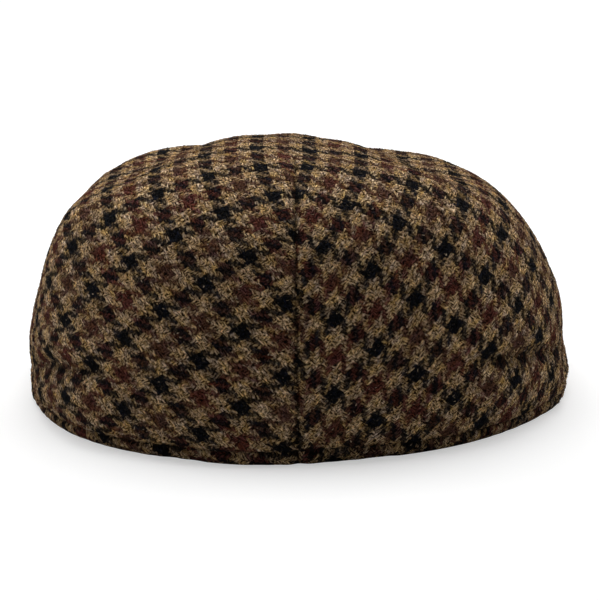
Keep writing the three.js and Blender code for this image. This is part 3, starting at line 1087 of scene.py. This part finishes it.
class CAP_OT_crown(bpy.types.Operator):
    """Makes the crown: the frame's outer face as a sheet of cloth, with its seam, hem, folds and wall."""

    bl_idname = "cap.crown"
    bl_label = "Sew the Crown"

    # Faces that look down more than this are the frame's rim, and its net has corners this far aside
    rim_facing = -0.92
    net_corners = (0.02, 0.09)
    # Rings of squares from the rim, and how often each is cut
    hem_cuts = ((1, 2), (0, 1))
    # Where the hem thins out to the cloth, from the rim
    hem_end = (0.004, 0.010)
    # Soft unevenness: its size and its height
    unevenness = ((0.030, 0.0016), (0.008, 0.0005))
    # How dark the painted shade in the stitched hem's groove and in the folds is, as shares of the painted
    # shade down the seam
    hem_shade = 0.66
    fold_shade = 0.68
    # The fold on each side: its way along x, its height at its front end, and its rise to the back
    folds = ((1, 0.0190, 0.175), (-1, 0.0213, 0.19))
    # Where that front end is along y, where a fold's dip and its shade begin and end, and how far aside
    fold_front = 0.050
    fold_begins = (0.050, 0.072)
    fold_shade_begins = (0.042, 0.056)
    fold_ends = (0.092, 0.108)
    fold_aside = (0.04, 0.06)

    def execute(self, context):
        sizes = context.scene.cap_cloth
        crown = copy_of_node("crown", "tweed_crown")
        self.keep_outside(crown)
        lay_in_one(crown, sizes)
        self.refine(crown)
        from_rim = self.rim_distance(crown)
        self.press_details(crown, sizes, from_rim)
        hem = 1 - ramp(from_rim, *self.hem_end)
        thickness = (sizes.wall + (sizes.hem_wall - sizes.wall) * hem) / sizes.hem_wall
        group = weigh(crown, "thickness", thickness)
        apply_modifier(crown, "SOLIDIFY", thickness=sizes.hem_wall, offset=-1.0, use_rim=True,
                       vertex_group=group.name)
        crown.vertex_groups.clear()

        # The hem lies on the table, and not in it
        points = points_of(crown)
        points[:, 2] = np.maximum(points[:, 2], 0)
        crown.data.vertices.foreach_set("co", points.ravel())
        shade_smooth(crown)
        finish_piece(crown, tweed_material(), "crown")
        return {"FINISHED"}

    def keep_outside(self, crown):
        """Leaves only the outer face of the frame's crown, as the net of squares that it came from."""
        inside = Vector(CROWN_INSIDE)
        select(crown, "FACE", lambda face: (
            face.normal.z < self.rim_facing or face.normal.dot(face.center - inside) < 0))
        bpy.ops.mesh.delete(type="FACE")
        bpy.ops.object.mode_set(mode="OBJECT")
        cuts = self.cut_edges(crown.data)
        select(crown, "EDGE", lambda edge: edge.index in cuts)
        bpy.ops.mesh.dissolve_edges(use_verts=False)
        bpy.ops.object.mode_set(mode="OBJECT")
        if any(len(face.vertices) != 4 for face in crown.data.polygons):
            raise RuntimeError("the crown's net did not come back as squares")

    def cut_edges(self, mesh):
        """Numbers of the edges that cut the net's squares in two, found by counting straight edges: a
        triangle has two, and a point four, or three on the rim and two at the net's corners."""
        straight, cut = 1, 2
        kind = [0] * len(mesh.edges)
        number = {edge.key: edge.index for edge in mesh.edges}
        rim = set(rim_edges(mesh).tolist())
        spokes = [[] for _ in mesh.vertices]
        for edge in mesh.edges:
            for vertex in edge.vertices:
                spokes[vertex].append(edge.index)
            if edge.index in rim:
                kind[edge.index] = straight
        groups = [([number[key] for key in face.edge_keys], 2) for face in mesh.polygons]
        nearest, farthest = self.net_corners
        for own, vertex in zip(spokes, mesh.vertices):
            on_rim = any(edge in rim for edge in own)
            corner = len(own) == 3 and nearest < abs(vertex.co.x) < farthest
            groups.append((own, 4 if not on_rim else 2 if corner else 3))
        changed = True
        while changed:
            changed = False
            for own, need in groups:
                unknown = [edge for edge in own if not kind[edge]]
                if not unknown:
                    continue
                found = sum(kind[edge] == straight for edge in own)
                if found == need:
                    answer = cut
                elif found + len(unknown) == need:
                    answer = straight
                else:
                    continue
                for edge in unknown:
                    kind[edge] = answer
                changed = True
        return {edge for edge, answer in enumerate(kind) if answer == cut}

    def refine(self, crown):
        """Makes the squares finer beside the seam and along the hem, and then the sheet smooth."""
        on_line = np.abs(points_of(crown)[:, 0]) < SAME_PLACE
        select(crown, "EDGE", lambda edge: on_line[edge.vertices[0]] != on_line[edge.vertices[1]])
        bpy.ops.mesh.subdivide(number_cuts=3, quadcorner="INNERVERT")
        bpy.ops.object.mode_set(mode="OBJECT")
        for ring, cuts in self.hem_cuts:
            steps = self.steps_from_rim(crown.data)
            wanted = (ring, ring + 1)
            select(crown, "EDGE", lambda edge: tuple(sorted(steps[list(edge.vertices)])) == wanted)
            bpy.ops.mesh.subdivide(number_cuts=cuts, quadcorner="INNERVERT")
            bpy.ops.object.mode_set(mode="OBJECT")
        apply_modifier(crown, "SUBSURF", levels=2, render_levels=2)

    def steps_from_rim(self, mesh, most=3):
        """How many squares each vertex is away from the rim; one more than most stands for all beyond."""
        steps = np.full(len(mesh.vertices), most + 1)
        pairs = np.array([edge.vertices[:] for edge in mesh.edges])
        steps[pairs[rim_edges(mesh)].ravel()] = 0
        for count in range(most):
            for one, two in (pairs.T, pairs.T[::-1]):
                near = two[(steps[one] == count) & (steps[two] > count)]
                steps[near] = count + 1
        return steps

    def rim_distance(self, crown):
        """How far each vertex is from the rim."""
        mesh = crown.data
        rim = sorted({vertex for edge in rim_edges(mesh) for vertex in mesh.edges[edge].vertices})
        tree = KDTree(len(rim))
        for number, vertex in enumerate(rim):
            tree.insert(mesh.vertices[vertex].co, number)
        tree.balance()
        return np.array([tree.find(vertex.co)[2] for vertex in mesh.vertices])

    def press_details(self, crown, sizes, from_rim):
        """Presses the seam, the stitched hem and the folds into the sheet, and marks the painted shade
        along them.
        """
        points = points_of(crown)
        seam, seam_painted_shade = self.seam_heights(points, sizes, from_rim)
        hem, hem_painted_shade = self.hem_heights(points, sizes, from_rim)
        fold, fold_painted_shade = self.fold_heights(points, sizes)
        press(crown, seam + hem + fold)
        for size, height in self.unevenness:
            ruffle(crown, size, height)
        # Painted shade down the seam, in the hem's groove and in the folds, which darkens the tweed's
        # colour
        lines = [seam_painted_shade, self.hem_shade * hem_painted_shade, self.fold_shade * fold_painted_shade]
        mark(crown, GROOVE_SHADE, np.maximum.reduce(lines))
        mark(crown, FROM_RIM, from_rim)

    def seam_heights(self, points, sizes, from_rim):
        """How the back seam shapes the cloth, with a ridge over its turned edges, and the painted shade
        down its groove.
        """
        line_width = 0.0006
        ridge_height, ridge_width = 0.0004, 0.0022
        pucker_height, pucker_place, pucker_width = 0.00013, 0.002, 0.005
        arc_middle, arc_radius = 0.02, 0.1
        beside = np.abs(points[:, 0])
        sewn = ramp(points[:, 1], sizes.seam_end - 0.004, sizes.seam_end + 0.016)
        above_hem = ramp(from_rim, 0.002, 0.009)
        along = np.arctan2(points[:, 2] - arc_middle, points[:, 1] - OPENING_MIDDLE) * arc_radius
        # The seam's line sinks its groove, and is also the painted shade down it
        line = bell(beside, 0, line_width) * sewn
        heights = -sizes.seam_groove * line * above_hem
        heights += ridge_height * bell(beside, sizes.seam_allowance, ridge_width) * sewn
        waves = puckers(along, short=0.0075, long=0.013, long_share=0.6, shift=1)
        heights += pucker_height * waves * bell(beside, pucker_place, pucker_width) * sewn
        return heights, line

    def hem_heights(self, points, sizes, from_rim):
        """How the hem shapes the cloth, with a roll below and above its stitches, and the painted shade in
        its groove.
        """
        line_width = 0.0007
        lower_roll, lower_place, lower_width = 0.0005, sizes.hem_width / 2, 0.0016
        upper_roll, upper_place, upper_width = 0.0003, sizes.hem_width + 0.0035, 0.0022
        pucker_height, pucker_width = 0.00016, 0.005
        opening_radius = 0.11
        around = np.arctan2(points[:, 0], points[:, 1] - OPENING_MIDDLE) * opening_radius
        # The hem's line sinks its groove, and is also the painted shade in it
        line = bell(from_rim, sizes.hem_width, line_width)
        heights = -sizes.hem_groove * line
        heights += lower_roll * bell(from_rim, lower_place, lower_width)
        heights += upper_roll * bell(from_rim, upper_place, upper_width)
        waves = puckers(around, short=0.0085, long=0.019, long_share=0.7, shift=2)
        heights += pucker_height * waves * bell(from_rim, sizes.hem_width, pucker_width)
        return heights, line

    def fold_heights(self, points, sizes):
        """How a soft fold above the hem shapes the cloth of each side, with a swell below and above it,
        and the painted shade in the fold."""
        dip_width = 0.0030
        line_place, line_width = -0.0003, 0.0026
        # Each swell's share of the depth, its place above the fold and its width
        swells = ((0.4, -0.010, 0.008), (0.2, 0.008, 0.006))
        heights = np.zeros(len(points))
        line = np.zeros(len(points))
        for way, low, rise in self.folds:
            side = (1 - ramp(points[:, 1], *self.fold_ends)) * ramp(way * points[:, 0], *self.fold_aside)
            depth = sizes.fold_depth * side * ramp(points[:, 1], *self.fold_begins)
            above = points[:, 2] - low - rise * (points[:, 1] - self.fold_front)
            heights -= depth * bell(above, 0, dip_width)
            for share, place, width in swells:
                heights += share * depth * bell(above, place, width)
            # Painted shade along the fold's line
            shade = side * ramp(points[:, 1], *self.fold_shade_begins)
            line = np.maximum(line, shade * bell(above, line_place, line_width))
        return heights, line


class CAP_OT_stitches(bpy.types.Operator):
    """Sews the hem: short dark stitches sunk in the groove above the rim."""

    bl_idname = "cap.stitches"
    bl_label = "Stitch the Hem"

    # Vertices this near to the groove's middle give its route, at places round the cap, smoothed over a few
    near_groove = 0.0006
    places = 1440
    smoothed_over = 9
    # A stitch is a spindle that comes up out of the cloth and goes down into it again
    ring_points = 6
    shoulder = 0.0007
    rise = 0.0002
    sink = 0.0006

    def execute(self, context):
        sizes = context.scene.cap_cloth
        route, facing = self.groove_route(sizes)
        lengths = np.r_[0, np.cumsum(np.linalg.norm(np.diff(route, axis=0), axis=1))]
        starts = np.arange(0, lengths[-1], sizes.stitch_pitch)

        def at(distance, rows):
            return np.stack([np.interp(distance, lengths, row) for row in rows.T], axis=1)

        out = at(starts, facing)
        tips = at(starts, route) - out * self.sink
        ends = at(starts + sizes.stitch_length, route) - out * self.sink
        shoulders = (self.shoulder, sizes.stitch_length - self.shoulder)
        middles = np.stack([at(starts + place, route) + out * self.rise for place in shoulders], axis=1)
        stitches = self.spindles("hem_stitches", tips, middles, ends, sizes.stitch_width)
        shade_smooth(stitches)
        material, _, shader = new_material("sewing thread", 0.7)
        shader.inputs["Base Color"].default_value = context.scene.cap_check.thread
        finish_piece(stitches, material)
        return {"FINISHED"}

    def groove_route(self, sizes):
        """Places along the hem's groove, round the cap, and the way that the cloth faces there."""
        crown = bpy.data.objects["tweed_crown"]
        mesh = crown.data
        from_rim = np.empty(len(mesh.vertices))
        mesh.attributes[FROM_RIM].data.foreach_get("value", from_rim)
        points = points_of(crown)
        normals = np.empty(points.size)
        mesh.vertices.foreach_get("normal", normals)
        normals = normals.reshape(-1, 3)
        outer = (normals * (points - CROWN_INSIDE)).sum(axis=1) > 0
        near = np.flatnonzero(outer & (np.abs(from_rim - sizes.hem_width) < self.near_groove))
        turn = np.arctan2(points[near, 0], points[near, 1] - OPENING_MIDDLE)
        near, turn = near[np.argsort(turn)], np.sort(turn)
        spots = np.linspace(-math.pi, math.pi, self.places, endpoint=False)
        share = np.ones(self.smoothed_over) / self.smoothed_over
        past = self.smoothed_over // 2

        def smooth(values):
            around = np.interp(spots, turn, values, period=2 * math.pi)
            return np.convolve(np.r_[around[-past:], around, around[:past]], share, "valid")

        return [np.stack([smooth(column) for column in rows[near].T], axis=1)
                for rows in (points, normals)]

    def spindles(self, name, tips, middles, ends, width):
        """Many closed spindles: each runs from a tip through a ring round each middle to an end."""
        count, rings = middles.shape[:2]
        sides = self.ring_points
        along = ends - tips
        along /= np.linalg.norm(along, axis=1, keepdims=True)
        first = np.cross(along, (0.0, 0.0, 1.0))
        first /= np.linalg.norm(first, axis=1, keepdims=True)
        second = np.cross(along, first)
        turns = (np.arange(sides) * 2 * math.pi / sides)[None, :, None]
        round_about = np.cos(turns) * first[:, None] + np.sin(turns) * second[:, None]
        ring_points = middles[:, :, None] + round_about[:, None] * width / 2
        points = np.concatenate([tips[:, None], ring_points.reshape(count, -1, 3), ends[:, None]], axis=1)
        faces = []
        last = 1 + rings * sides
        for side in range(sides):
            after = (side + 1) % sides
            faces.append((0, 1 + after, 1 + side))
            for ring in range(rings - 1):
                low, high = 1 + ring * sides, 1 + (ring + 1) * sides
                faces.append((low + side, low + after, high + after))
                faces.append((low + side, high + after, high + side))
            faces.append((last - sides + side, last - sides + after, last))
        return repeated_mesh(name, points, faces)


class CAP_OT_fuzz(bpy.types.Operator):
    """Raises the fuzz: loose fibres on the crown and on the peak."""

    bl_idname = "cap.fuzz"
    bl_label = "Raise the Fuzz"

    # Each lot: its cloth, name, seed and share of fibres, and the height of a place that it looks away from
    lots = (
        ("tweed_crown", "crown_fuzz_one", 1, 1.0, 0.03),
        ("tweed_crown", "crown_fuzz_two", 2, 1.0, 0.03),
        ("tweed_peak", "peak_fuzz", 3, 0.4, -0.03),
    )

    def execute(self, context):
        count = context.scene.cap_cloth.fibres
        material = fuzz_material()
        for cloth, name, seed, share, height in self.lots:
            piece = bpy.data.objects[cloth]
            fuzz = grow_fuzz(piece, name, int(count * share), seed, np.array((0.0, 0.0, height)))
            finish_piece(fuzz, material)
        return {"FINISHED"}


class CAP_PT_panel(bpy.types.Panel):
    """Lists the steps that make the cap."""

    bl_idname = "CAP_PT_panel"
    bl_label = "Flat Cap"
    bl_space_type = "VIEW_3D"
    bl_region_type = "UI"
    bl_category = "Flat Cap"

    def draw(self, context):
        for operator in OPERATORS:
            self.layout.operator(operator.bl_idname)


GROUPS = (("cap_cloth", ClothSizes), ("cap_check", CheckSettings), ("cap_stage", StageSettings))
OPERATORS = (CAP_OT_stage, CAP_OT_peak, CAP_OT_crown, CAP_OT_stitches, CAP_OT_fuzz)


def register():
    for name, group in GROUPS:
        bpy.utils.register_class(group)
        setattr(bpy.types.Scene, name, bpy.props.PointerProperty(type=group))
    for item in (*OPERATORS, CAP_PT_panel):
        bpy.utils.register_class(item)


def unregister():
    for item in reversed((*OPERATORS, CAP_PT_panel)):
        bpy.utils.unregister_class(item)
    for name, group in reversed(GROUPS):
        delattr(bpy.types.Scene, name)
        bpy.utils.unregister_class(group)


def main():
    register()
    bpy.ops.cap.stage()
    bpy.ops.cap.peak()
    bpy.ops.cap.crown()
    bpy.ops.cap.stitches()
    bpy.ops.cap.fuzz()


if __name__ == "__main__":
    main()
